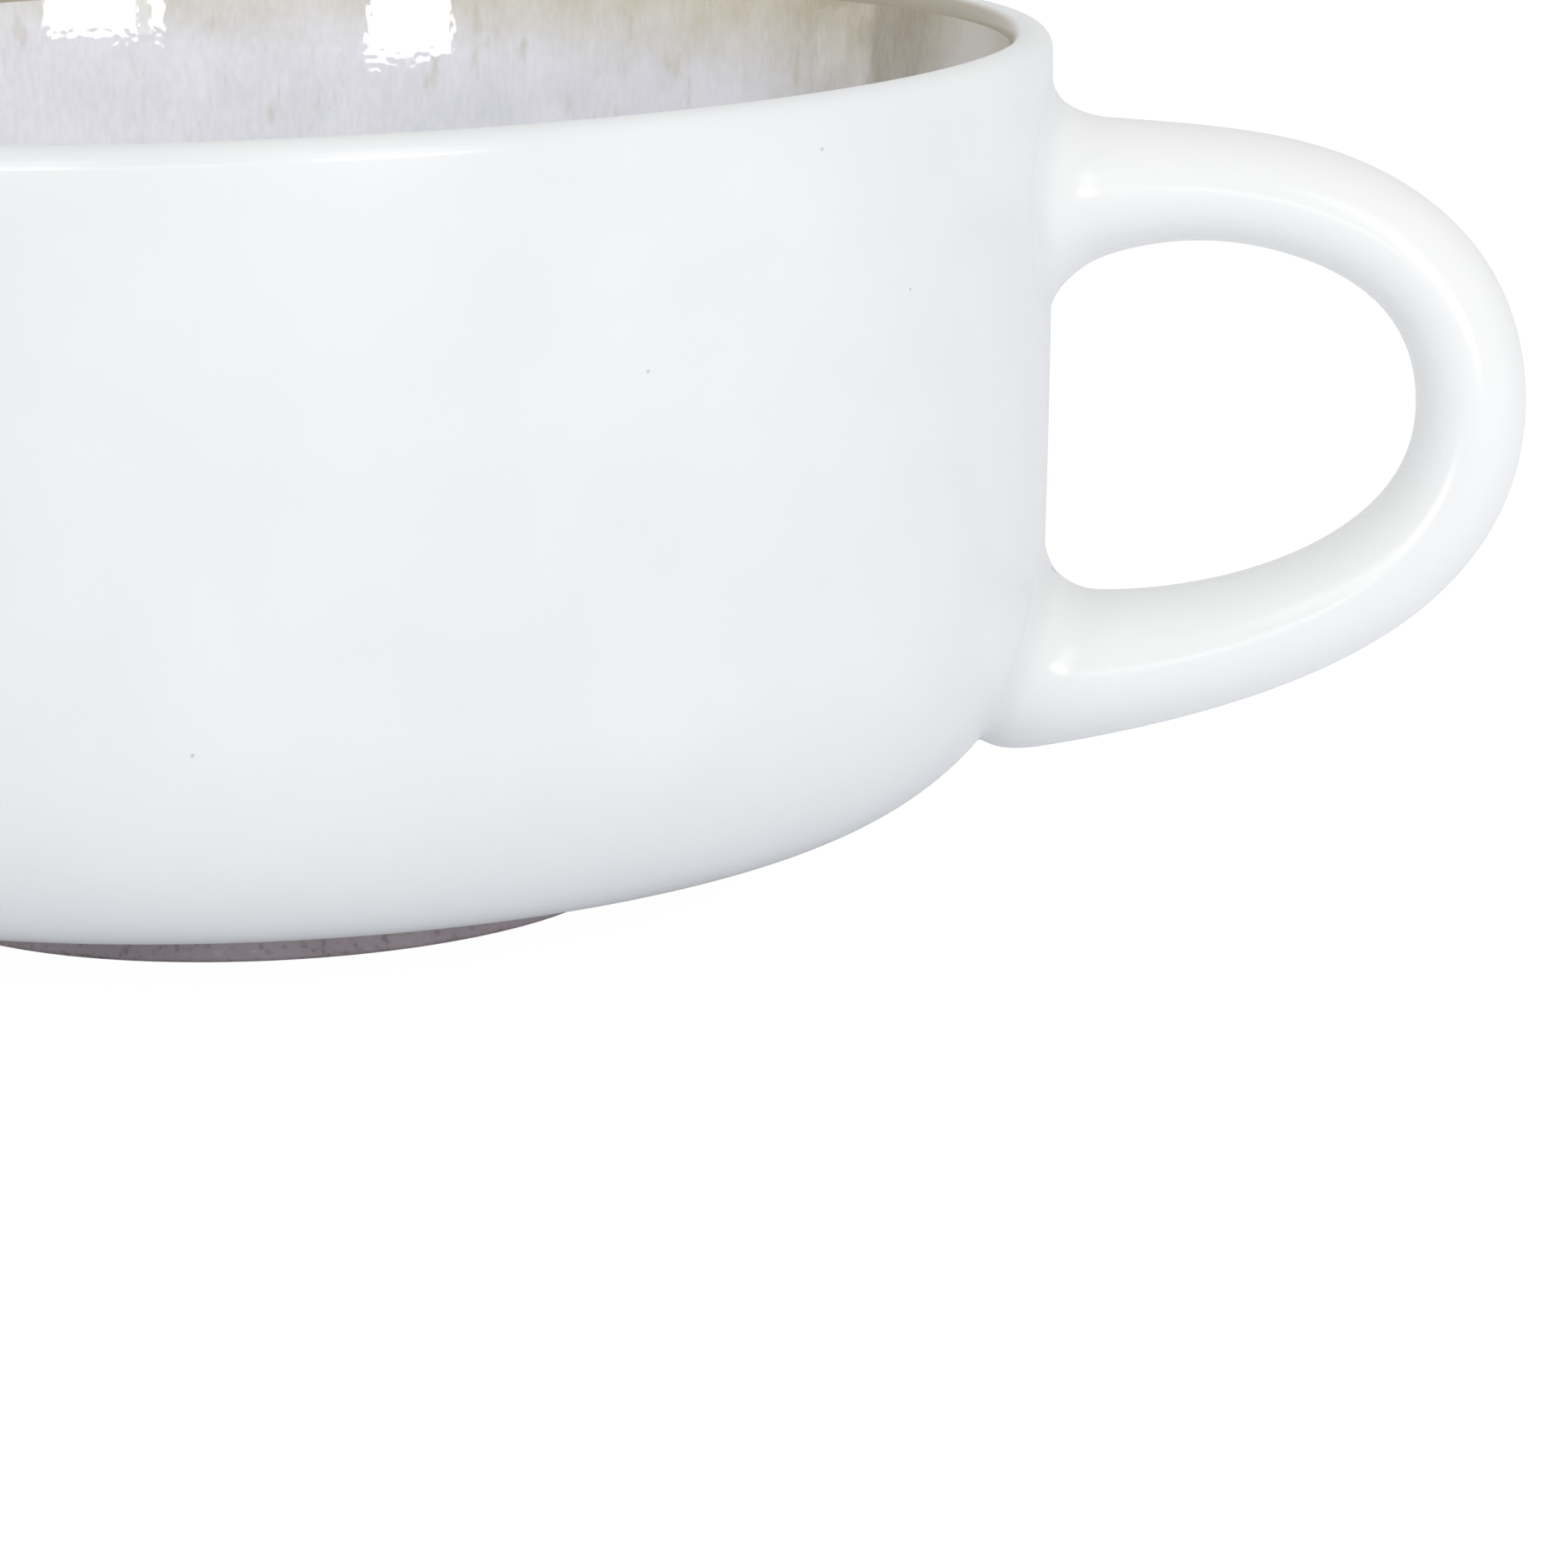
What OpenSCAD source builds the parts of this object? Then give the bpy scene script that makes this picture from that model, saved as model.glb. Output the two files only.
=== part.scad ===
// Soup mug: a wide stoneware cup on a low turned foot, with one loop handle.
// The cup and the handle are separate pieces of clay, joined by slip at two roots.
// A matt white glaze coats the outside and the lip, and a glossy one lines the inside.
// Origin on the cup's axis at table level, +Z up, +X towards the handle, millimetres.

/* [Cup] */
// Outside diameter of the finished rim
rim_d = 120; // [105:1:140]
// Height from the table to the top of the lip
cup_h = 62.5; // [58:0.5:75]
// Thickness of the round lip, with its glaze
lip_t = 3; // [2.4:0.1:4.5]
// Lean of the outer wall from upright at the lip, in degrees
wall_lean = 1; // [0:0.1:3]
// Radius of the outer wall's slight barrel curve
barrel_r = 1000; // [700:50:2000]
// Radius of the rounded corner between the wall and the underside
corner_r = 18; // [14:0.5:22]
// Lean of the inside wall from upright, in degrees
inside_lean = 4.5; // [3:0.1:6]
// Radius of the corner between the inside wall and the floor
inside_corner_r = 16; // [10:0.5:20]
// Thickness of the floor, with its glaze
floor_t = 5.2; // [4:0.1:8]

/* [Foot] */
// Outside diameter of the foot ring
foot_d = 53.6; // [44:0.2:62]
// Width of the foot ring's wall
foot_w = 4; // [2.5:0.1:7]
// Height of the cup's underside above the table
foot_h = 5.2; // [4:0.1:8]
// Rounding of the foot ring's two bottom edges
foot_edge_r = 0.5; // [0.3:0.1:1.2]
// Width of the bare strip where the glaze is wiped back around the foot
wipe_w = 0.6; // [0.4:0.1:1.5]

/* [Handle] */
// How far the finished handle stands out past the rim
handle_reach = 34; // [29:0.5:42]
// Drop from the top of the lip to the middle of the upper root
upper_root_drop = 11.7; // [11:0.1:16]
// Height of the middle of the lower root above the underside
lower_root_rise = 9.3; // [8:0.1:12]
// Height of the handle's outermost point above the lower root
bend_rise = 20.9; // [16:0.1:25]
// Slope of the handle as it leaves the upper root, in degrees
upper_slope = 9; // [0:0.5:18]
// Slope of the handle as it leaves the lower root, in degrees
lower_slope = 2.1; // [-6:0.1:10]
// How far the upper arm runs on before it turns down
upper_run = 20.2; // [14:0.1:26]
// How far the lower arm runs on before it turns up
lower_run = 9.2; // [6:0.1:14]
// How far the upper arm's turn reaches above the outermost point
upper_turn = 12.7; // [9:0.1:15]
// How far the lower arm's turn reaches below the outermost point
lower_turn = 18.8; // [14:0.1:22]
// Thickness of the finished handle at the upper root
upper_t = 8.1; // [7:0.1:11]
// Thickness of the finished handle at its outermost point
bend_t = 8; // [6.5:0.1:10]
// Thickness of the finished handle at the lower root
lower_t = 9.4; // [8:0.1:12]
// Width of the finished handle at the upper root
upper_w = 11.2; // [9:0.1:14]
// Width of the finished handle at its outermost point
bend_w = 11; // [9:0.1:14]
// Width of the finished handle at the lower root
lower_w = 12; // [9:0.1:15]
// Distance from the wall at which the upper root starts to swell
upper_swell_r = 15; // [10:0.5:20]
// Distance from the wall at which the lower root starts to swell
lower_swell_r = 23.5; // [15:0.5:28]
// Radius of the fillet where the handle meets the wall
fillet_r = 4; // [3:0.1:6]
// Angle at which the fillet stops curving and runs straight into the wall
fillet_end = 68; // [45:1:70]

/* [Clay and glaze] */
// Thickness of every glaze coat
glaze_t = 0.4; // [0.3:0.05:0.8]
// Thickness of the slip that holds each handle root
slip_t = 0.4; // [0.3:0.05:0.8]

/* [Hidden] */
$fn = 180;

// Cup outline: lip, barrel wall and corner are arcs that run into each other
rim_r = rim_d / 2;
foot_r = foot_d / 2;
foot_inner_r = foot_r - foot_w;
wipe_r = foot_r + wipe_w;
lip_r = lip_t / 2;
lip_c = [rim_r - lip_r, cup_h - lip_r];
wall_c = lip_c + (barrel_r - lip_r) * [-cos(wall_lean), sin(wall_lean)];
corner_z = foot_h + corner_r;
corner_lean = asin((wall_c.y - corner_z) / (barrel_r - corner_r));
corner_c = [wall_c.x + (barrel_r - corner_r) * cos(corner_lean), corner_z];

// Inside outline: a straight wall that touches the lip and the floor's corner
floor_z = foot_h + floor_t;
inside_z = floor_z + inside_corner_r;
inside_reach = lip_c.x * cos(inside_lean) - lip_c.y * sin(inside_lean) - lip_r;
inside_x = (inside_reach - inside_corner_r + inside_z * sin(inside_lean)) / cos(inside_lean);
inside_c = [inside_x, inside_z];

// Handle path: two curves that meet at the outermost point and end inside the wall
root_depth = 3.5;
heel_depth = 6.5;
upper_root_z = cup_h - upper_root_drop;
lower_root_z = foot_h + lower_root_rise;
upper_root = [rim_r - root_depth, upper_root_z];
lower_root = [outer_r(lower_root_z) - heel_depth, lower_root_z];
bend = [rim_r + handle_reach - bend_t / 2, lower_root_z + bend_rise];
upper_path = [upper_root, upper_root + upper_run * [cos(upper_slope), sin(upper_slope)],
              bend + [0, upper_turn], bend];
lower_path = [bend, bend - [0, lower_turn],
              lower_root + lower_run * [cos(lower_slope), sin(lower_slope)], lower_root];

// Rings of the handle's loft, closer together towards the roots
arm_rings = 24;
ring_sides = 20;
root_rings = 12;
root_pace_share = 0.35;
root_angle = 60;

// How far each root spreads at the wall, on its outer side, its flanks and its inner side.
// The lower fillet is drawn in on its outer side, which leaves a round heel.
swell_end = 60;
fillet_sink = 0.6;
upper_swell = [1.5, 1.2, 2.9];
lower_swell = [1, 1.2, 2.1];
upper_fillet = [1.6, 2.2, 1.5];
lower_fillet = [-2.6, 2.2, 2.6];

// Point at an angle on a circle, and an arc of such points
function on_arc(c, r, a) = c + r * [cos(a), sin(a)];
function arc(c, r, from, to, steps) = [for (i = [0 : steps]) on_arc(c, r, from + (to - from) * i / steps)];
function rest(list) = [for (i = [1 : len(list) - 1]) list[i]];
function reversed(list) = [for (i = [len(list) - 1 : -1 : 0]) list[i]];

// Outline of the outer surface from the underside to the top of the lip, set in by a depth
function outer_path(depth) = concat(
    arc(corner_c, corner_r - depth, -90, -corner_lean, 16),
    rest(arc(wall_c, barrel_r - depth, -corner_lean, -wall_lean, 4)),
    rest(arc(lip_c, lip_r - depth, -wall_lean, 180 - inside_lean, 16)));

// Outline of the inside from the floor's middle to the top of the lip, grown into the clay by a depth
function inside_path(depth) = concat(
    [[0, floor_z - depth]],
    arc(inside_c, inside_corner_r + depth, -90, -inside_lean, 16),
    [on_arc(lip_c, lip_r - depth, 180 - inside_lean)]);

// Outline of the foot ring from its inner wall round to its outer wall and the wiped strip
function foot_path() = concat(
    [[foot_inner_r, foot_h + glaze_t]],
    arc([foot_inner_r + foot_edge_r, foot_edge_r], foot_edge_r, 180, 270, 6),
    arc([foot_r - foot_edge_r, foot_edge_r], foot_edge_r, -90, 0, 6),
    [[foot_r, foot_h], [wipe_r, foot_h], [wipe_r, foot_h + glaze_t]]);

// Radius of the finished outer surface at a height
function outer_r(z) =
    z < corner_c.y - corner_r * sin(corner_lean)
    ? corner_c.x + sqrt(corner_r ^ 2 - (corner_c.y - z) ^ 2)
    : wall_c.x + sqrt(barrel_r ^ 2 - (wall_c.y - z) ^ 2);

// Centre and radius of the outline's arc nearest to a point given by its radius and height
function near_arc(q) =
    atan2(corner_c.y - q.y, q.x - corner_c.x) > corner_lean ? [corner_c, corner_r] : [wall_c, barrel_r];

// Distance of such a point from the finished outer surface, and the ways out of it and up along it
function wall_gap(q) = norm(q - near_arc(q)[0]) - near_arc(q)[1];
function wall_out(q) = let(n = q - near_arc(q)[0]) n / norm(n);
function wall_way(q) = let(n = wall_out(q)) [-n.y, n.x];

// A point in space brought back to a given distance from that surface
function at_gap(p, gap) =
    let(q = [norm([p.x, p.y]), p.z], back = (wall_gap(q) - gap) * wall_out(q))
    let(share = (q.x - back.x) / q.x)
    [p.x * share, p.y * share, p.z - back.y];

// Cubic curve and its direction
function curve(p, t) =
    (1 - t) ^ 3 * p[0] + 3 * (1 - t) ^ 2 * t * p[1] + 3 * (1 - t) * t ^ 2 * p[2] + t ^ 3 * p[3];
function curve_way(p, t) =
    let(d = (1 - t) ^ 2 * (p[1] - p[0]) + 2 * (1 - t) * t * (p[2] - p[1]) + t ^ 2 * (p[3] - p[2]))
    d / norm(d);

// Smooth step from one value to another
function ease(from, to, t) = from + (to - from) * t ^ 2 * (3 - 2 * t);

// Growth from 0 at a radius away from the wall to 1 at the wall: an arc, then a straight run
function arc_growth(r, a, run, end) = r * (1 - cos(a)) + max(run, 0) * tan(end);
function growth(gap, r, end) =
    let(a = asin(min(max(1 - gap / r, 0), sin(end))), straight = r * (1 - sin(end)))
    arc_growth(r, a, straight - max(gap, -fillet_sink), end) / arc_growth(r, end, straight, end);

// Spread of a root at an angle around it
function around(spread, a) =
    let(outer_share = ((1 + cos(a)) / 2) ^ 2, inner_share = ((1 - cos(a)) / 2) ^ 2)
    spread[1] + (spread[0] - spread[1]) * outer_share + (spread[2] - spread[1]) * inner_share;

// How far a root swells at a given distance from the wall and an angle around it
function swelling(gap, a, lower) =
    let(swell_r = lower ? lower_swell_r : upper_swell_r)
    around(lower ? lower_swell : upper_swell, a) * growth(gap, swell_r, swell_end)
    + around(lower ? lower_fillet : upper_fillet, a) * growth(gap, fillet_r, fillet_end);

// One oval ring of the handle, swollen along the wall and set in by the glaze where that is asked for
function ring(path, t, half_t, half_w, lower, inset) =
    let(c = curve(path, t), way = curve_way(path, t), out = [-way.y, way.x])
    [for (k = [0 : ring_sides - 1])
        let(a = 360 * k / ring_sides)
        let(bare = c + half_t * cos(a) * out, y = half_w * sin(a))
        let(q = [norm([bare.x, y]), bare.y])
        let(gap = wall_gap(q), swell = swelling(gap, a, lower))
        let(moved = bare + cos(a) * swell * (lower ? -1 : 1) * wall_way(q))
        let(p = at_gap([moved.x, y + swell * sin(a), moved.y], gap))
        p - inset * [cos(a) * out.x, sin(a), cos(a) * out.y]];

// Steps along an arm of the handle, shorter at its root than at the bend
function arm_step(i) = i / arm_rings * (root_pace_share + (1 - root_pace_share) * i / arm_rings);

function handle_rings(inset) = [
    for (i = [0 : arm_rings])
        let(t = arm_step(i))
        ring(upper_path, t, ease(upper_t, bend_t, t) / 2, ease(upper_w, bend_w, t) / 2, false, inset),
    for (i = [1 : arm_rings])
        let(t = 1 - arm_step(arm_rings - i))
        ring(lower_path, t, ease(bend_t, lower_t, t) / 2, ease(bend_w, lower_w, t) / 2, true, inset)];

// Triangles between neighbouring rings of a loft whose points start at a given number
function loft_sides(first, count) = [
    for (i = [0 : count - 2], k = [0 : ring_sides - 1])
        let(a = first + i * ring_sides + k, b = first + i * ring_sides + (k + 1) % ring_sides)
        each [[a, b, b + ring_sides], [a, b + ring_sides, a + ring_sides]]];

// A loft through rings, closed by a flat cap at both ends
module loft(rings) {
    last = (len(rings) - 1) * ring_sides;
    first_cap = [for (k = [ring_sides - 1 : -1 : 0]) k];
    last_cap = [for (k = [0 : ring_sides - 1]) last + k];
    polyhedron([for (r = rings) each r], concat(loft_sides(0, len(rings)), [first_cap, last_cap]));
}

// A coat between two lofts of equal ring count, closed by a flat band at both ends
module loft_coat(outer_rings, inner_rings) {
    count = len(outer_rings);
    inner = count * ring_sides;
    last = (count - 1) * ring_sides;
    bands = [for (k = [0 : ring_sides - 1])
        let(b = (k + 1) % ring_sides)
        each [[b, k, inner + k], [b, inner + k, inner + b],
              [last + k, last + b, inner + last + b], [last + k, inner + last + b, inner + last + k]]];
    lining = [for (f = loft_sides(inner, count)) reversed(f)];
    polyhedron([for (r = concat(outer_rings, inner_rings)) each r],
               concat(loft_sides(0, count), lining, bands));
}

// Clay of one handle root, run on into the wall
module upper_root_form() {
    rings = handle_rings(glaze_t);
    loft([for (i = [0 : root_rings]) rings[i]]);
}

module lower_root_form() {
    rings = handle_rings(glaze_t);
    loft([for (i = [len(rings) - 1 - root_rings : len(rings) - 1]) rings[i]]);
}

// Everything inside the outer surface on the handle's side of the cup, set in by a depth
module wall_wedge(depth) {
    top = lip_c + (lip_r - depth) * [-cos(inside_lean), sin(inside_lean)];
    rotate_extrude(angle = root_angle, start = -root_angle / 2)
        polygon(concat([[0, foot_h + depth]], outer_path(depth), [[0, top.y]]));
}

// Layer of slip on the wall on the handle's side of the cup
module slip_layer() {
    rotate_extrude(angle = root_angle, start = -root_angle / 2)
        polygon(concat(outer_path(glaze_t - slip_t), reversed(outer_path(glaze_t))));
}

// A half section turned about the cup's axis, starting at the back, away from the handle
module turned() {
    rotate([0, 0, 180])
        rotate_extrude()
            children();
}

// Wheel-formed stoneware cup with its turned foot ring, bare only at the foot
module cup_body() {
    color("#8d8285")
    turned()
        polygon(concat([[0, foot_h + glaze_t]], foot_path(), outer_path(glaze_t),
                       rest(reversed(inside_path(glaze_t)))));
}

// Cast stoneware handle, cut at both roots to the shape of the wall
module handle() {
    color("#9a8f8e")
    difference() {
        loft(handle_rings(glaze_t));
        wall_wedge(glaze_t - slip_t);
    }
}

// Slip between the wall and the upper root
module upper_slip_joint() {
    color("#b5aaa3")
    intersection() {
        upper_root_form();
        slip_layer();
    }
}

// Slip between the wall and the lower root
module lower_slip_joint() {
    color("#b5aaa3")
    intersection() {
        lower_root_form();
        slip_layer();
    }
}

// Matt white glaze on the outside, over the lip and under the cup as far as the foot
module cup_glaze() {
    color("#eef0f2")
    difference() {
        turned()
            polygon(concat([[wipe_r, foot_h]], outer_path(0), reversed(outer_path(glaze_t)),
                           [[wipe_r, foot_h + glaze_t]]));
        upper_root_form();
        lower_root_form();
    }
}

// The same white glaze around the handle
module handle_glaze() {
    color("#f3f4f5")
    difference() {
        loft_coat(handle_rings(0), handle_rings(glaze_t));
        wall_wedge(0);
    }
}

// Glossy lining glaze on the inside wall and floor
module lining_glaze() {
    color("#d3d2d6")
    turned()
        polygon(concat(inside_path(glaze_t), reversed(inside_path(0))));
}

// White glaze in the recess inside the foot ring
module base_glaze() {
    color("#e8eaec")
    translate([0, 0, foot_h])
        cylinder(h = glaze_t, r = foot_inner_r);
}

cup_body();
handle();
upper_slip_joint();
lower_slip_joint();
cup_glaze();
handle_glaze();
lining_glaze();
base_glaze();
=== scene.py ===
import math

import bmesh
import bpy
from mathutils import Matrix, Vector


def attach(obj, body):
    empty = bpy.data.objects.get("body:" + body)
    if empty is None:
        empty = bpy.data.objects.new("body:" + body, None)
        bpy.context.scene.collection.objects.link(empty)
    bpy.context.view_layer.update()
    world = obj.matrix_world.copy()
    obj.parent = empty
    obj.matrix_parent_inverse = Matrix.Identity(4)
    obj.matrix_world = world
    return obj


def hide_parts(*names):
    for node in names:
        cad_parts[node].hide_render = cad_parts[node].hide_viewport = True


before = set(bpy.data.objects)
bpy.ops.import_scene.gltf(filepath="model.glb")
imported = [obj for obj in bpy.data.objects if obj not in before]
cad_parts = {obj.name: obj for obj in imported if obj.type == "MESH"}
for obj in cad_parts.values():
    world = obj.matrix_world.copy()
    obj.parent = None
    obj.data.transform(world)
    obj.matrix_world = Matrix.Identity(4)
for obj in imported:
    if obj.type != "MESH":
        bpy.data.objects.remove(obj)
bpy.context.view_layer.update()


# Clay cup. Brown-grey stoneware, thrown on a wheel and trimmed with a turning tool once it is
# leather hard. All of it is glazed over but the foot ring, which stays bare so that it doesn't
# stick to the kiln shelf. Lengths are in millimetres until a mesh is made.
MM = 0.001
GLAZE_T = 0.4
RIM_R, CUP_H, LIP_R = 60.0, 62.5, 1.5
WALL_LEAN, BARREL_R, CORNER_R = 1.0, 1000.0, 18.0
INSIDE_LEAN, INSIDE_CORNER_R, FLOOR_T = 4.5, 16.0, 5.2
FOOT_R, FOOT_INNER_R, FOOT_H, FOOT_EDGE_R, WIPE_R = 26.8, 22.8, 5.2, 0.5, 27.4


def on_arc(centre, radius, degrees):
    angle = math.radians(degrees)
    return Vector((centre.x + radius * math.cos(angle), centre.y + radius * math.sin(angle)))


def arc(centre, radius, start, end, steps):
    return [on_arc(centre, radius, start + (end - start) * i / steps) for i in range(steps + 1)]


lip_c = Vector((RIM_R - LIP_R, CUP_H - LIP_R))
wall_c = on_arc(lip_c, BARREL_R - LIP_R, 180 - WALL_LEAN)
corner_lean = math.degrees(math.asin((wall_c.y - FOOT_H - CORNER_R) / (BARREL_R - CORNER_R)))
corner_c = on_arc(wall_c, BARREL_R - CORNER_R, -corner_lean)
floor_z = FOOT_H + FLOOR_T
lean_cos, lean_sin = math.cos(math.radians(INSIDE_LEAN)), math.sin(math.radians(INSIDE_LEAN))
inside_reach = lip_c.x * lean_cos - lip_c.y * lean_sin - LIP_R
inside_z = floor_z + INSIDE_CORNER_R
inside_c = Vector(((inside_reach - INSIDE_CORNER_R + inside_z * lean_sin) / lean_cos, inside_z))


def outer_path(depth):
    """Outside of the cup from its underside over the lip, set in by a depth."""
    return (arc(corner_c, CORNER_R - depth, -90, -corner_lean, 40)
            + arc(wall_c, BARREL_R - depth, -corner_lean, -WALL_LEAN, 16)[1:]
            + arc(lip_c, LIP_R - depth, -WALL_LEAN, 180 - INSIDE_LEAN, 32)[1:])


def inside_path(depth):
    """Inside of the cup from the floor's middle to the lip, grown into the clay by a depth."""
    top = on_arc(lip_c, LIP_R - depth, 180 - INSIDE_LEAN)
    corner = arc(inside_c, INSIDE_CORNER_R + depth, -90, -INSIDE_LEAN, 36)
    floor = [Vector((corner[0].x * share / 8, floor_z - depth)) for share in range(8)]
    wall = [corner[-1].lerp(top, share / 16) for share in range(1, 17)]
    return floor + corner + wall


def turn(name, profile, steps=256):
    """A half section drawn point by point by extruding a vertex, then spun about the cup's axis."""
    bpy.ops.object.select_all(action="DESELECT")
    bpy.ops.mesh.primitive_plane_add(size=0.002)
    piece = bpy.context.object
    piece.name = piece.data.name = name
    bpy.ops.object.mode_set(mode="EDIT")
    bpy.ops.mesh.select_mode(type="VERT")
    mesh = bmesh.from_edit_mesh(piece.data)
    mesh.verts.ensure_lookup_table()
    bpy.ops.mesh.select_all(action="DESELECT")
    for vertex in mesh.verts[1:]:
        vertex.select_set(True)
    bpy.ops.mesh.delete(type="VERT")
    mesh = bmesh.from_edit_mesh(piece.data)
    mesh.verts.ensure_lookup_table()
    mesh.verts[0].co = (profile[0].x * MM, 0.0, profile[0].y * MM)
    mesh.verts[0].select_set(True)
    bmesh.update_edit_mesh(piece.data)
    for here, there in zip(profile, profile[1:]):
        step = (there - here) * MM
        bpy.ops.mesh.extrude_region_move(TRANSFORM_OT_translate={"value": (step.x, 0.0, step.y)})
    bpy.ops.mesh.select_all(action="SELECT")
    bpy.ops.mesh.spin(steps=steps, angle=math.tau, center=(0, 0, 0), axis=(0, 0, 1))
    bpy.ops.mesh.select_all(action="SELECT")
    bpy.ops.mesh.remove_doubles(threshold=1e-6)
    bpy.ops.mesh.normals_make_consistent(inside=False)
    bpy.ops.object.mode_set(mode="OBJECT")
    bpy.ops.object.shade_smooth_by_angle(angle=math.radians(50))
    return piece


def linear(colour):
    """An sRGB hex colour as linear red, green, blue and alpha."""
    parts = [int(colour[i:i + 2], 16) / 255 for i in (1, 3, 5)]
    return [p / 12.92 if p <= 0.04045 else ((p + 0.055) / 1.055) ** 2.4 for p in parts] + [1.0]


def add(tree, kind, sockets=None, stops=(), **options):
    """One node with its options, its colour stops, and each socket's value or link."""
    made = tree.nodes.new(kind)
    for option, value in options.items():
        setattr(made, option, value)
    for place, (position, colour) in enumerate(stops):
        elements = made.color_ramp.elements
        element = elements[place] if place < 2 else elements.new(position)
        element.position = position
        element.color = linear(colour)
    for socket, value in (sockets or {}).items():
        if isinstance(value, bpy.types.NodeSocket):
            tree.links.new(value, made.inputs[socket])
        else:
            made.inputs[socket].default_value = value
    return made


# Fired bare stoneware: dry and dull, with fine dark and pale grit and the faint rings that the
# turning tool leaves. Grit is about 0.6 mm and the rings are about 3.8 mm apart.
stoneware = bpy.data.materials.new("bare_fired_stoneware")
stoneware.use_nodes = True
tree = stoneware.node_tree
shader = tree.nodes["Principled BSDF"]
shader.inputs["Roughness"].default_value = 0.85
shader.inputs["IOR"].default_value = 1.5
place = add(tree, "ShaderNodeTexCoord").outputs["Object"]
patches = add(tree, "ShaderNodeTexNoise", {"Vector": place, "Scale": 1 / 0.012, "Detail": 4.0})
body_colour = add(tree, "ShaderNodeValToRGB", {"Fac": patches.outputs["Fac"]},
                  stops=[(0.35, "#b3a9af"), (0.65, "#d2c6cb")])
grit = add(tree, "ShaderNodeTexNoise", {"Vector": place, "Scale": 1 / 0.0006, "Detail": 2.0})
grit_colour = add(tree, "ShaderNodeValToRGB", {"Fac": grit.outputs["Fac"]},
                  stops=[(0.30, "#6f6569"), (0.45, "#c2b6bb"),
                         (0.62, "#c2b6bb"), (0.75, "#e4dbd8")])
clay_colour = add(tree, "ShaderNodeMix", {"Factor": 0.45, "A": body_colour.outputs["Color"],
                                          "B": grit_colour.outputs["Color"]}, data_type="RGBA")
tree.links.new(clay_colour.outputs["Result"], shader.inputs["Base Color"])
rings = add(tree, "ShaderNodeTexWave", {"Vector": place, "Scale": math.tau / (20 * 0.00377),
                                        "Distortion": 1.0},
            wave_type="BANDS", bands_direction="Z")
relief = add(tree, "ShaderNodeMath", {0: rings.outputs["Fac"], 1: grit.outputs["Fac"]},
             operation="ADD")
bump = add(tree, "ShaderNodeBump", {"Height": relief.outputs["Value"], "Strength": 0.35,
                                    "Distance": 0.0001})
tree.links.new(bump.outputs["Normal"], shader.inputs["Normal"])

foot = ([Vector((0.0, FOOT_H + GLAZE_T)), Vector((FOOT_INNER_R, FOOT_H + GLAZE_T))]
        + arc(Vector((FOOT_INNER_R + FOOT_EDGE_R, FOOT_EDGE_R)), FOOT_EDGE_R, 180, 270, 8)
        + arc(Vector((FOOT_R - FOOT_EDGE_R, FOOT_EDGE_R)), FOOT_EDGE_R, -90, 0, 8)
        + [Vector((FOOT_R, FOOT_H / 2)), Vector((FOOT_R, FOOT_H)), Vector((WIPE_R, FOOT_H)),
           Vector((WIPE_R, FOOT_H + GLAZE_T))])
clay_cup = turn("clay_cup", foot + outer_path(GLAZE_T) + inside_path(GLAZE_T)[-2::-1])
clay_cup.data.materials.append(stoneware)
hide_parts("cup_body")
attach(clay_cup, "root")


# Clay handle. A loop of the same stoneware, pressed in a mould and dried to leather hardness
# before it is stuck on. The white coat covers all of it, so its solid stays as it is.
clay_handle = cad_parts["handle"]
clay_handle.data.materials.clear()
clay_handle.data.materials.append(stoneware)


# Slip joints. Thin layers of the same clay stirred with water, brushed on both scored faces to
# stick the handle's roots to the wall. They are closed in by the clay and the white coat.
slip = stoneware.copy()
slip.name = "fired_slip"
for joint in ("upper_slip_joint", "lower_slip_joint"):
    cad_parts[joint].data.materials.clear()
    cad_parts[joint].data.materials.append(slip)


# White coat of the cup. A satin matt glaze that the cup is dipped in, over the lip and down to the
# foot, where it is wiped off in a clean line with a rounded edge. It is whiter on the handle, has
# a few iron specks of about 0.3 mm, and takes the lining's khaki on the inner lip.
white_glaze = bpy.data.materials.new("satin_matt_white_glaze")
white_glaze.use_nodes = True
tree = white_glaze.node_tree
shader = tree.nodes["Principled BSDF"]
shader.inputs["Roughness"].default_value = 0.22
shader.inputs["IOR"].default_value = 1.5
place = add(tree, "ShaderNodeTexCoord").outputs["Object"]
axes = add(tree, "ShaderNodeSeparateXYZ", {"Vector": place})
cloud = add(tree, "ShaderNodeTexNoise", {"Vector": place, "Scale": 1 / 0.018, "Detail": 3.0})
wall_colour = add(tree, "ShaderNodeValToRGB", {"Fac": cloud.outputs["Fac"]},
                  stops=[(0.3, "#e2e3e4"), (0.7, "#e7e8e8")])
# The distance from a line one corner radius inside the wall tells the handle from the wall
flat = add(tree, "ShaderNodeVectorMath", {0: place, 1: (1.0, 1.0, 0.0)}, operation="MULTIPLY")
from_axis = add(tree, "ShaderNodeVectorMath", {0: flat.outputs["Vector"]}, operation="LENGTH")
wall_centre = add(tree, "ShaderNodeMapRange", {"Value": axes.outputs["Z"],
                                               "From Min": corner_c.y * MM, "From Max": CUP_H * MM,
                                               "To Min": corner_c.x * MM,
                                               "To Max": (RIM_R - CORNER_R) * MM})
outward = add(tree, "ShaderNodeMath", {0: from_axis.outputs["Value"],
                                       1: wall_centre.outputs["Result"]}, operation="SUBTRACT")
downward = add(tree, "ShaderNodeMath", {0: axes.outputs["Z"], 1: corner_c.y * MM},
               operation="SUBTRACT")
downward = add(tree, "ShaderNodeMath", {0: downward.outputs["Value"], 1: 0.0}, operation="MINIMUM")
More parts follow.
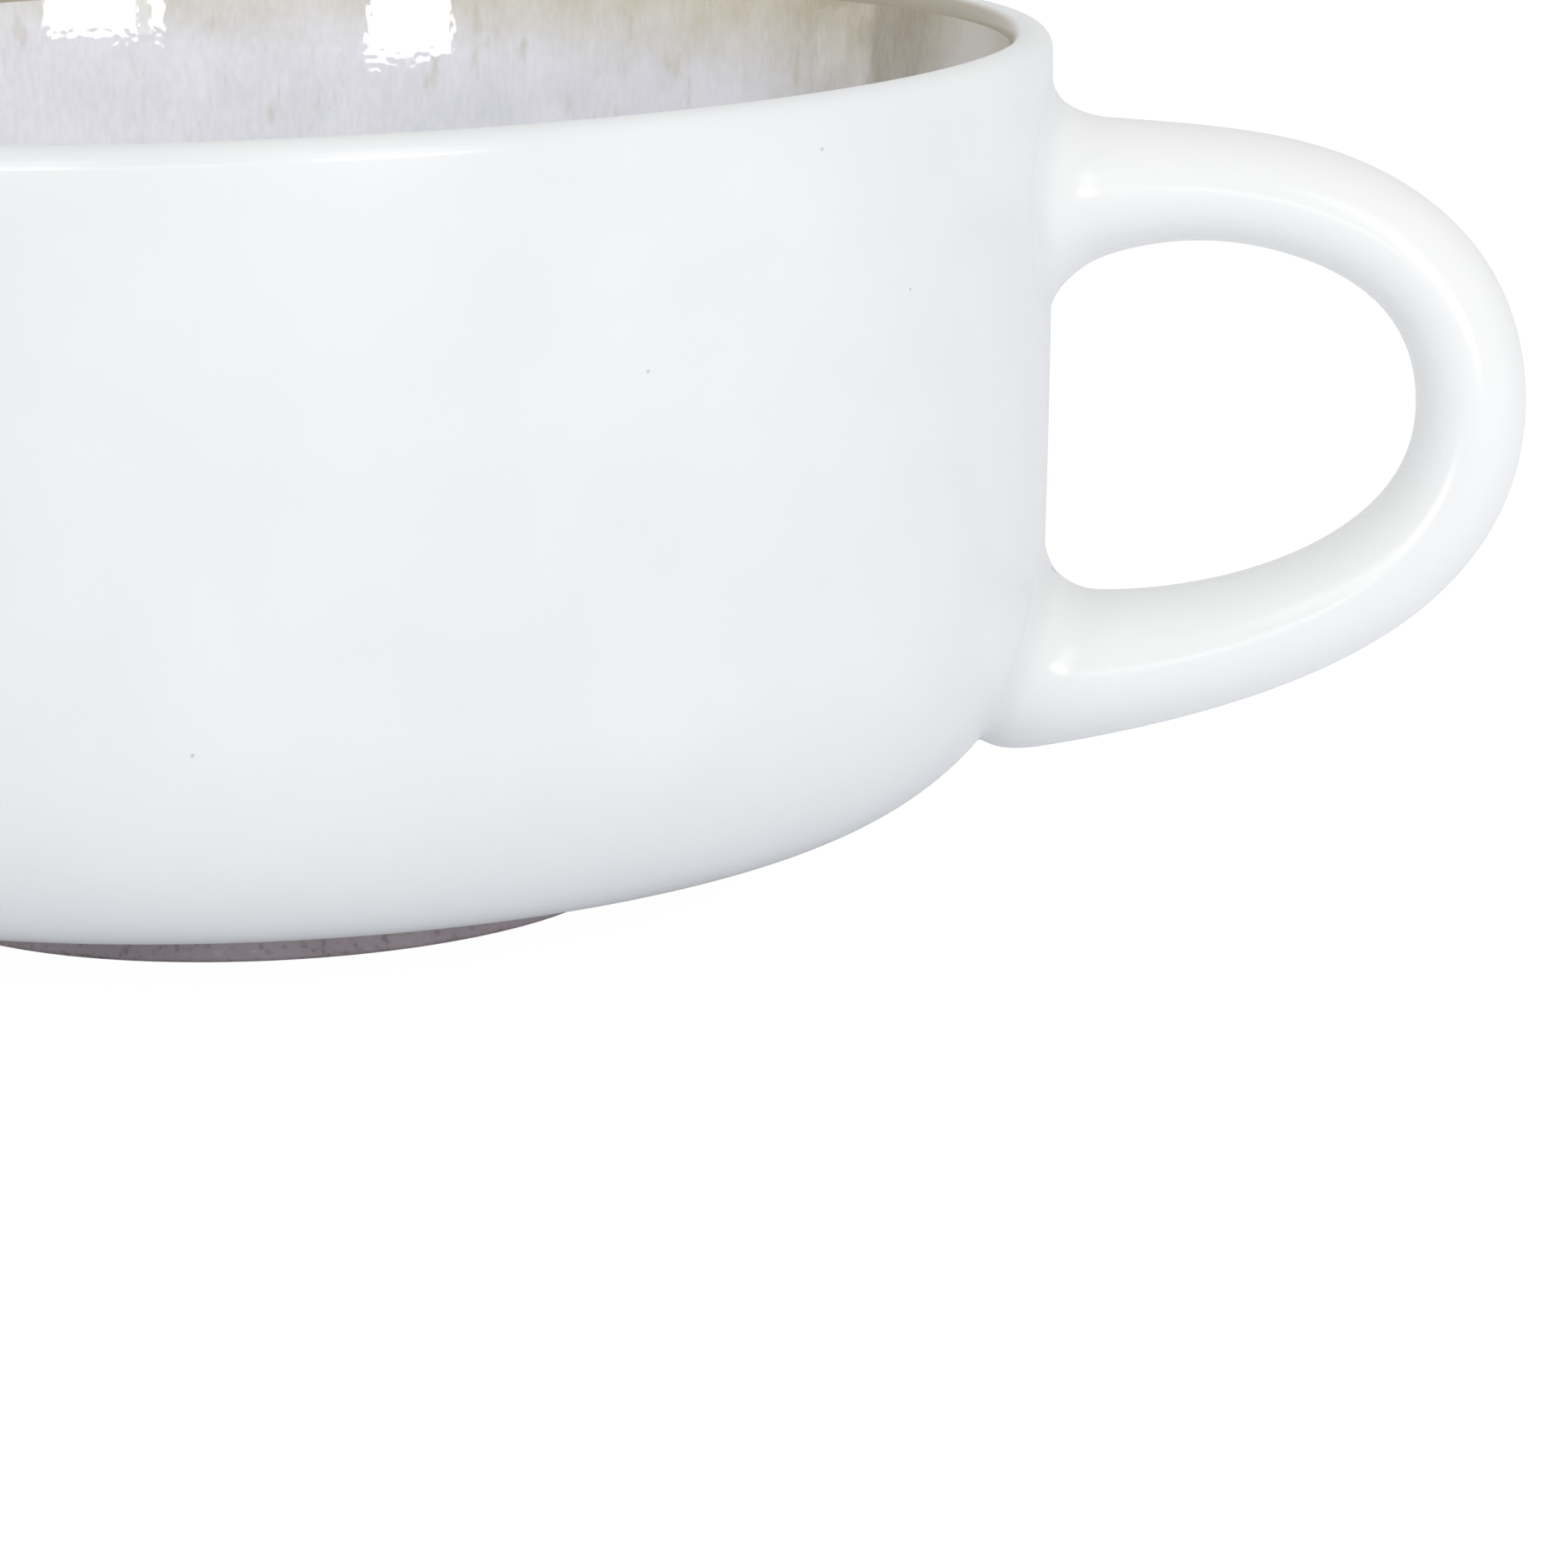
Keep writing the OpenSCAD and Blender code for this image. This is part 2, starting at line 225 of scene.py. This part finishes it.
off_corner = add(tree, "ShaderNodeCombineXYZ", {"X": outward.outputs["Value"],
                                                "Y": downward.outputs["Value"]})
off_wall = add(tree, "ShaderNodeVectorMath", {0: off_corner.outputs["Vector"]}, operation="LENGTH")
# Whiter on the handle than on the wall
whiter_on_handle = add(tree, "ShaderNodeMapRange", {"Value": off_wall.outputs["Value"],
                                         "From Min": (CORNER_R + 0.3) * MM,
                                         "From Max": (CORNER_R + 1.6) * MM, "To Max": 0.8},
            interpolation_type="SMOOTHSTEP")
coat_colour = add(tree, "ShaderNodeMix", {"Factor": whiter_on_handle.outputs["Result"],
                                          "A": wall_colour.outputs["Color"],
                                          "B": linear("#efefee")}, data_type="RGBA")
speck_cells = add(tree, "ShaderNodeTexVoronoi", {"Vector": place, "Scale": 1 / 0.006})
speck_size = add(tree, "ShaderNodeMapRange", {"Value": speck_cells.outputs["Distance"],
                                              "From Min": 0.012, "From Max": 0.028,
                                              "To Min": 0.4, "To Max": 0.0})
speck_pick = add(tree, "ShaderNodeSeparateColor", {"Color": speck_cells.outputs["Color"]})
speck_few = add(tree, "ShaderNodeMath", {0: speck_pick.outputs["Red"], 1: 0.5},
                operation="GREATER_THAN")
speck = add(tree, "ShaderNodeMath", {0: speck_size.outputs["Result"],
                                     1: speck_few.outputs["Value"]}, operation="MULTIPLY")
speck_colour = add(tree, "ShaderNodeMix", {"Factor": speck.outputs["Value"],
                                           "A": coat_colour.outputs["Result"],
                                           "B": linear("#6f6a66")}, data_type="RGBA")
# The khaki covers the inner lip, a little more of it at the back of the cup
slanted = add(tree, "ShaderNodeMath", {0: axes.outputs["Y"], 1: -0.02,
                                       2: from_axis.outputs["Value"]}, operation="MULTIPLY_ADD")
bleed = add(tree, "ShaderNodeMapRange", {"Value": slanted.outputs["Value"], "From Min": 0.0570,
                                         "From Max": 0.0577, "To Min": 0.9, "To Max": 0.0},
            interpolation_type="SMOOTHSTEP")
at_lip = add(tree, "ShaderNodeMath", {0: axes.outputs["Z"], 1: 0.06}, operation="GREATER_THAN")
bleed_share = add(tree, "ShaderNodeMath", {0: bleed.outputs["Result"], 1: at_lip.outputs["Value"]},
                  operation="MULTIPLY")
lip_colour = add(tree, "ShaderNodeMix", {"Factor": bleed_share.outputs["Value"],
                                         "A": speck_colour.outputs["Result"],
                                         "B": linear("#a1967f")}, data_type="RGBA")
tree.links.new(lip_colour.outputs["Result"], shader.inputs["Base Color"])
peel = add(tree, "ShaderNodeTexNoise", {"Vector": place, "Scale": 1 / 0.0025, "Detail": 2.0})
bump = add(tree, "ShaderNodeBump", {"Height": peel.outputs["Fac"], "Strength": 0.06,
                                    "Distance": 0.0001})
tree.links.new(bump.outputs["Normal"], shader.inputs["Normal"])

edge = arc(Vector((WIPE_R + 0.2, FOOT_H + 0.2)), 0.2, 180, 270, 6)
cup_coat = turn("cup_white_coat", edge + outer_path(0.0) + outer_path(GLAZE_T)[::-1]
                + [Vector((WIPE_R, FOOT_H + GLAZE_T)), edge[0]])
cup_coat.data.materials.append(white_glaze)
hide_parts("cup_glaze")
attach(cup_coat, "root")


# White coat of the handle. The same dip of glaze, running smoothly from the loop into the wall
# at two flared roots, where it pools in a thin bead along the seam. The lower root ends below
# in a round heel with a crease under it.
REACH, UPPER_DROP, LOWER_RISE, BEND_RISE = 34.0, 11.7, 9.3, 20.9
UPPER_SLOPE, LOWER_SLOPE = 9.0, 2.1
UPPER_RUN, LOWER_RUN, UPPER_TURN, LOWER_TURN = 20.2, 9.2, 12.7, 18.8
THICK, WIDE = (8.1, 8.0, 9.4), (11.2, 11.0, 12.0)
ROOT_DEPTH, HEEL_DEPTH = 3.5, 6.5
SWELL_R, SWELL_END, FILLET_R, FILLET_END, FILLET_SINK = (15.0, 23.5), 60.0, 4.0, 68.0, 0.6
SWELL, FILLET = ((1.5, 1.2, 2.9), (1.0, 1.2, 2.1)), ((1.6, 2.2, 1.5), (-2.6, 2.2, 2.6))
BEAD_R, BEAD, BEAD_END, DEEPEST = 1.0, 0.5, 80.0, -0.8
ROOT_PACE, SIDES, CUTS = 0.35, 64, 19
lower_z = FOOT_H + LOWER_RISE
lower_x = corner_c.x + math.sqrt(CORNER_R ** 2 - (corner_c.y - lower_z) ** 2) - HEEL_DEPTH
upper_root = Vector((RIM_R - ROOT_DEPTH, CUP_H - UPPER_DROP))
lower_root = Vector((lower_x, lower_z))
bend = Vector((RIM_R + REACH - THICK[1] / 2, lower_z + BEND_RISE))
upper_arm = (upper_root, on_arc(upper_root, UPPER_RUN, UPPER_SLOPE),
             bend + Vector((0, UPPER_TURN)), bend)
lower_arm = (bend, bend - Vector((0, LOWER_TURN)),
             on_arc(lower_root, LOWER_RUN, LOWER_SLOPE), lower_root)


def growth(gap, radius, end_degrees):
    """From 0 at a radius away from the wall to 1 at the wall: an arc, then a straight run."""
    end = math.radians(end_degrees)
    curl = math.asin(min(max(1 - gap / radius, 0), math.sin(end)))
    straight = radius * (1 - math.sin(end))
    run = max(straight - max(gap, -FILLET_SINK), 0)
    return ((radius * (1 - math.cos(curl)) + run * math.tan(end))
            / (radius * (1 - math.cos(end)) + straight * math.tan(end)))


def around(spread, rise):
    """Spread of a root on its outer side, its flanks and its inner side, at one place round it."""
    outer_side, flank, inner_side = spread
    return (flank + (outer_side - flank) * ((1 + rise) / 2) ** 2
            + (inner_side - flank) * ((1 - rise) / 2) ** 2)


def from_wall(spot):
    """Distance of a point, given by radius and height, from the cup's outside, and the way out."""
    below = math.degrees(math.atan2(corner_c.y - spot.y, spot.x - corner_c.x)) > corner_lean
    centre, radius = (corner_c, CORNER_R) if below else (wall_c, BARREL_R)
    return (spot - centre).length - radius, (spot - centre).normalized()


def on_handle(along, angle):
    """A point of the handle's surface: along from 0 at the upper root to 2 at the lower one."""
    lower = along > 1
    arm, t = (lower_arm, along - 1) if lower else (upper_arm, along)
    a, b, c, d = arm
    middle = a * (1 - t) ** 3 + b * 3 * (1 - t) ** 2 * t + c * 3 * (1 - t) * t ** 2 + d * t ** 3
    way = ((b - a) * (1 - t) ** 2 + (c - b) * 2 * (1 - t) * t + (d - c) * t ** 2).normalized()
    ease = t * t * (3 - 2 * t)
    half_t = (THICK[lower] + (THICK[lower + 1] - THICK[lower]) * ease) / 2
    half_w = (WIDE[lower] + (WIDE[lower + 1] - WIDE[lower]) * ease) / 2
    rise, side = math.cos(angle), math.sin(angle)
    bare, y = middle + Vector((-way.y, way.x)) * half_t * rise, half_w * side
    gap, out = from_wall(Vector((math.hypot(bare.x, y), bare.y)))
    swell = (around(SWELL[lower], rise) * growth(gap, SWELL_R[lower], SWELL_END)
             + around(FILLET[lower], rise) * growth(gap, FILLET_R, FILLET_END)
             + BEAD * growth(gap, BEAD_R, BEAD_END))
    bare += Vector((-out.y, out.x)) * swell * rise * (-1 if lower else 1)
    y += swell * side
    # Back to its distance from the wall, or to the greatest depth, out of sight in the clay
    spot = Vector((math.hypot(bare.x, y), bare.y))
    moved_gap, out = from_wall(spot)
    back = out * (moved_gap - max(gap, DEEPEST))
    share = (spot.x - back.x) / spot.x
    return Vector((bare.x * share, y * share, bare.y - back.y))


bpy.ops.object.select_all(action="DESELECT")
bpy.ops.mesh.primitive_cylinder_add(vertices=SIDES, radius=1.0, depth=1.0)
handle_coat = bpy.context.object
handle_coat.name = handle_coat.data.name = "handle_white_coat"
bpy.ops.object.mode_set(mode="EDIT")
mesh = bmesh.from_edit_mesh(handle_coat.data)
bpy.ops.mesh.select_mode(type="EDGE")
bpy.ops.mesh.select_all(action="DESELECT")
# Two rounds of 19 cuts make 400 steps along the loop
for each_time in range(2):
    for line in mesh.edges:
        line.select_set(abs(line.verts[0].co.z - line.verts[1].co.z) > 0.01)
    bpy.ops.mesh.subdivide(number_cuts=CUTS)
    mesh = bmesh.from_edit_mesh(handle_coat.data)
for vertex in mesh.verts:
    share = vertex.co.z + 0.5
    arm_share = 2 * min(share, 1 - share)
    step = arm_share * (ROOT_PACE + (1 - ROOT_PACE) * arm_share)
    angle = math.atan2(vertex.co.y, vertex.co.x)
    vertex.co = on_handle(step if share <= 0.5 else 2 - step, angle) * MM
bpy.ops.mesh.select_all(action="SELECT")
bpy.ops.mesh.normals_make_consistent(inside=False)
bpy.ops.object.mode_set(mode="OBJECT")
bpy.ops.object.shade_smooth()
handle_coat.data.materials.append(white_glaze)
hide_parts("handle_glaze")
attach(handle_coat, "root")


# Lining. A glossy reactive glaze poured in and swilled round. It breaks to khaki where it runs thin
# under the lip and pools to a pale lavender grey below, with runs about 2 mm wide. Painted shade
# greys it towards the handle, where an olive band is a painted reflection of the dark inside seen
# at a grazing angle. Ripples of about 0.6 mm make the reflections' edges ragged.
lining_glaze = bpy.data.materials.new("glossy_reactive_glaze")
lining_glaze.use_nodes = True
tree = lining_glaze.node_tree
shader = tree.nodes["Principled BSDF"]
shader.inputs["Roughness"].default_value = 0.03
shader.inputs["IOR"].default_value = 1.55
place = add(tree, "ShaderNodeTexCoord").outputs["Object"]
axes = add(tree, "ShaderNodeSeparateXYZ", {"Vector": place})
down_wall = add(tree, "ShaderNodeVectorMath", {0: place, 1: (1.0, 1.0, 0.3)}, operation="MULTIPLY")
runs = add(tree, "ShaderNodeTexNoise", {"Vector": down_wall.outputs["Vector"],
                                        "Scale": 1 / 0.0018, "Detail": 3.0, "Roughness": 0.6})
broad = add(tree, "ShaderNodeTexNoise", {"Vector": place, "Scale": 1 / 0.009, "Detail": 4.0,
                                         "Roughness": 0.6})
threads = add(tree, "ShaderNodeTexNoise", {"Vector": down_wall.outputs["Vector"],
                                           "Scale": 1 / 0.0004, "Detail": 2.0})
grain = add(tree, "ShaderNodeMath", {0: broad.outputs["Fac"], 1: 0.65}, operation="MULTIPLY")
grain = add(tree, "ShaderNodeMath", {0: threads.outputs["Fac"], 1: 0.35,
                                     2: grain.outputs["Value"]},
            operation="MULTIPLY_ADD").outputs["Value"]

# A height that is tilted to the handle as painted shade, the distance past the painted reflection's
# start, and the height, each made to waver by some millimetres of the broad noise and of the runs
REFLECTION_ANGLE = math.radians(39)
# Painted shade: the X term lifts the height towards the handle, so the darker khaki reaches lower
# there
shade_tilted_height = add(tree, "ShaderNodeMath", {0: axes.outputs["X"], 1: 0.08, 2: axes.outputs["Z"]},
             operation="MULTIPLY_ADD")
reflection_across = add(tree, "ShaderNodeVectorMath", {0: place, 1: (math.sin(REFLECTION_ANGLE),
                                                          -math.cos(REFLECTION_ANGLE), 0.0)},
             operation="DOT_PRODUCT")
wavering = []
for start, broad_mm, runs_mm in ((shade_tilted_height.outputs["Value"], 8, 3), (reflection_across.outputs["Value"], 6, 3),
                                 (axes.outputs["Z"], 24, 12)):
    for noise, most in ((broad, broad_mm), (runs, runs_mm)):
        start = add(tree, "ShaderNodeMath", {0: noise.outputs["Fac"], 1: most * MM, 2: start},
                    operation="MULTIPLY_ADD").outputs["Value"]
    wavering.append(start)
khaki_and_shade_level, past_reflection_start, height = wavering

khaki_and_shade_share = add(tree, "ShaderNodeMapRange", {"Value": khaki_and_shade_level, "From Min": 0.0612, "From Max": 0.0690})
pale = add(tree, "ShaderNodeValToRGB", {"Fac": grain},
           stops=[(0.35, "#f7f7fc"), (0.65, "#e6e7eb")])
# Painted shade: the pale glaze greys towards the handle's side, where less light falls
shade_to_handle = add(tree, "ShaderNodeMapRange", {"Value": axes.outputs["X"], "From Max": 0.05,
                                          "To Max": 0.6})
pale_with_shade = add(tree, "ShaderNodeMix", {"Factor": shade_to_handle.outputs["Result"],
                                        "A": pale.outputs["Color"],
                                        "B": linear("#d6d6d8")}, data_type="RGBA")
khaki = add(tree, "ShaderNodeValToRGB", {"Fac": grain},
            stops=[(0.35, "#e2dbca"), (0.65, "#d2cab5")])
glaze_colour = add(tree, "ShaderNodeMix", {"Factor": khaki_and_shade_share.outputs["Result"],
                                           "A": pale_with_shade.outputs["Result"],
                                           "B": khaki.outputs["Color"]}, data_type="RGBA")
drip = add(tree, "ShaderNodeMapRange", {"Value": runs.outputs["Fac"], "From Min": 0.6,
                                        "From Max": 0.78, "To Max": 0.7})
drip_colour = add(tree, "ShaderNodeMix", {"Factor": drip.outputs["Result"],
                                          "A": glaze_colour.outputs["Result"],
                                          "B": linear("#c9c1b2")}, data_type="RGBA")

# The painted reflection starts at 39 degrees from the handle as an olive band, fades past it to a
# warm grey, and ends in soft drips about 15 mm down
reflection_place = add(tree, "ShaderNodeMapRange", {"Value": past_reflection_start, "From Min": -0.0155,
                                               "From Max": 0.0625})
painted_reflection_round = add(tree, "ShaderNodeValToRGB", {"Fac": reflection_place.outputs["Result"]},
                  stops=[(0.06, "#000000"), (0.95, "#000000"), (0.19, "#a6a6a6"),
                         (0.24, "#7c7c7c"), (0.268, "#e7e7e7"), (0.33, "#efefef"),
                         (0.375, "#e2e2e2"), (0.415, "#c4c4c4"), (0.55, "#9b9b9b")])
reflection_side = add(tree, "ShaderNodeMapRange", {"Value": axes.outputs["X"], "From Min": 0.005,
                                               "From Max": 0.03}, interpolation_type="SMOOTHSTEP")
reflection_drop = add(tree, "ShaderNodeMapRange", {"Value": height, "From Min": 0.058,
                                              "From Max": 0.069}, interpolation_type="SMOOTHSTEP")
reflection_mask = add(tree, "ShaderNodeMath", {0: reflection_side.outputs["Result"],
                                         1: reflection_drop.outputs["Result"]}, operation="MULTIPLY")
# Painted reflection: the olive band stands in for the dark inside seen at a grazing angle
painted_reflection_share = add(tree, "ShaderNodeMath", {0: painted_reflection_round.outputs["Color"],
                                           1: reflection_mask.outputs["Value"]}, operation="MULTIPLY")
painted_reflection_ramp = add(tree, "ShaderNodeValToRGB", {"Fac": grain},
            stops=[(0.35, "#b1a898"), (0.65, "#968d7b")])
painted_reflection_colour = add(tree, "ShaderNodeMix", {"Factor": painted_reflection_share.outputs["Value"],
                                           "A": drip_colour.outputs["Result"],
                                           "B": painted_reflection_ramp.outputs["Color"]}, data_type="RGBA")
reflection_fade = add(tree, "ShaderNodeMapRange", {"Value": reflection_place.outputs["Result"],
                                          "From Min": 0.375, "From Max": 0.46, "To Max": 0.55})
reflection_fade_share = add(tree, "ShaderNodeMath", {0: reflection_fade.outputs["Result"],
                                          1: reflection_mask.outputs["Value"]}, operation="MULTIPLY")
lining_colour = add(tree, "ShaderNodeMix", {"Factor": reflection_fade_share.outputs["Value"],
                                            "A": painted_reflection_colour.outputs["Result"],
                                            "B": linear("#d3d1cf")}, data_type="RGBA")
tree.links.new(lining_colour.outputs["Result"], shader.inputs["Base Color"])

# The wall's lean wavers by just under half a degree, so one reflection ends lower and one higher.
# Each lean is a slope of the bump's height, which the bump's share and distance scale down.
LEFT_LEAN, RIGHT_LEAN, LEAN_Z = 1500.0, -1600.0, 0.058
ripple = add(tree, "ShaderNodeTexNoise", {"Vector": place, "Scale": 1 / 0.0006, "Detail": 0.0})
relief = add(tree, "ShaderNodeMath", {0: ripple.outputs["Fac"], 1: 0.85, 2: runs.outputs["Fac"]},
             operation="MULTIPLY_ADD")
lean = add(tree, "ShaderNodeMapRange", {"Value": axes.outputs["X"], "From Min": -0.0155,
                                        "From Max": 0.0015, "To Min": LEFT_LEAN,
                                        "To Max": RIGHT_LEAN})
over_line = add(tree, "ShaderNodeMath", {0: axes.outputs["Z"], 1: LEAN_Z}, operation="SUBTRACT")
relief = add(tree, "ShaderNodeMath", {0: over_line.outputs["Value"], 1: lean.outputs["Result"],
                                      2: relief.outputs["Value"]}, operation="MULTIPLY_ADD")
bump = add(tree, "ShaderNodeBump", {"Height": relief.outputs["Value"], "Strength": 0.05,
                                    "Distance": 0.0001})
tree.links.new(bump.outputs["Normal"], shader.inputs["Normal"])

inner, outer = inside_path(0.0), inside_path(GLAZE_T)
lining = turn("reactive_lining", outer + inner[::-1])
lining.data.materials.append(lining_glaze)
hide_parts("lining_glaze")
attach(lining, "root")


# White coat of the base. The same white glaze, brushed into the recess inside the foot ring,
# where it lies flat up to the ring's inner wall.
base_coat = turn("base_white_coat", [Vector((0.0, FOOT_H))]
                 + [Vector((FOOT_INNER_R * share / 6, FOOT_H)) for share in range(1, 7)]
                 + [Vector((FOOT_INNER_R, FOOT_H + GLAZE_T)), Vector((0.0, FOOT_H + GLAZE_T))])
base_coat.data.materials.append(white_glaze)
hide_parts("base_glaze")
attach(base_coat, "root")


# Studio. A white sheet on the table that the camera sees as plain white, a white surround, two
# softboxes on either side of the camera, which show as two bars in the glossy lining, a fill
# panel and low glints.
paper = bpy.data.materials.new("white_paper_sheet")
paper.use_nodes = True
tree = paper.node_tree
shader = tree.nodes["Principled BSDF"]
shader.inputs["Base Color"].default_value = linear("#f9fbff")
shader.inputs["Roughness"].default_value = 0.9
lit = add(tree, "ShaderNodeEmission", {"Color": (1.0, 1.0, 1.0, 1.0), "Strength": 1.1})
rays = add(tree, "ShaderNodeLightPath")
seen = add(tree, "ShaderNodeMath", {0: rays.outputs["Is Camera Ray"], 1: 0.88},
           operation="MULTIPLY")
sheet = add(tree, "ShaderNodeMixShader", {0: seen.outputs["Value"], 1: shader.outputs["BSDF"],
                                          2: lit.outputs["Emission"]})
tree.links.new(sheet.outputs["Shader"], tree.nodes["Material Output"].inputs["Surface"])
bpy.ops.object.select_all(action="DESELECT")
bpy.ops.mesh.primitive_plane_add(size=6.0)
floor = bpy.context.object
floor.name = "floor"
floor.data.materials.append(paper)

world = bpy.data.worlds.new("white_surround")
world.use_nodes = True
world.node_tree.nodes["Background"].inputs["Color"].default_value = (0.772, 0.775, 0.782, 1.0)
world.node_tree.nodes["Background"].inputs["Strength"].default_value = 1.0
bpy.context.scene.world = world


def softbox(name, side, lift, size, brightness, away=1.2):
    """An area light turned to the mug, at an angle round it and an angle above the table."""
    turn_z, tip = math.radians(side), math.radians(lift)
    bpy.ops.object.light_add(type="AREA", location=(away * math.cos(tip) * math.cos(turn_z),
                                                    away * math.cos(tip) * math.sin(turn_z),
                                                    away * math.sin(tip)))
    light = bpy.context.object
    light.name = name
    light.rotation_euler = (math.radians(90) - tip, 0, turn_z + math.radians(90))
    light.data.shape = "RECTANGLE"
    light.data.size, light.data.size_y = size
    light.data.color = (1.0, 0.99, 0.975)
    light.data.energy = brightness * math.pi * size[0] * size[1]
    return light


# The fill panel lights the handle's side and isn't reflected. The glints are only reflected.
SOFT, GLINT, LOW_GLINT, FILL = 2.0, 8.5, 7.0, 0.65
softbox("softbox_right", -59.85, 22, (0.4, 0.9), SOFT)
softbox("softbox_left", -108.65, 22, (0.288, 0.9), SOFT)
softbox("fill_panel", -15, 15, (0.8, 0.5), FILL, away=0.8).visible_glossy = False
for glint in (softbox("glint_right", -57.75, 6.1, (0.31, 0.15), GLINT),
              softbox("glint_right_edge", -68.35, 6.1, (0.04, 0.15), GLINT),
              softbox("glint_left", -108.65, 5.8, (0.288, 0.15), GLINT),
              softbox("glint_low", -88, 3.6, (0.4, 0.06), LOW_GLINT)):
    glint.visible_diffuse = False


# Camera. Just above the rim and close to the mug, framing its handle side, turned a little.
# The angles come from fitting the cup's rim, foot and wall lines.
CAMERA_TURN, CAMERA_TIP, CAMERA_ROLL = 10 - 4.2833, 90 - 12.0181, -1.6149
bpy.ops.object.camera_add()
camera = bpy.context.object
camera.matrix_world = (Matrix.Translation((0.0903, -0.5121, 0.11663))
                       @ Matrix.Rotation(math.radians(CAMERA_TURN), 4, "Z")
                       @ Matrix.Rotation(math.radians(CAMERA_TIP), 4, "X")
                       @ Matrix.Rotation(math.radians(CAMERA_ROLL), 4, "Z"))
camera.data.sensor_width = 36.0
camera.data.lens = 162.70
camera.data.clip_start = 0.01
bpy.context.scene.camera = camera
bpy.context.scene.view_settings.view_transform = "Standard"
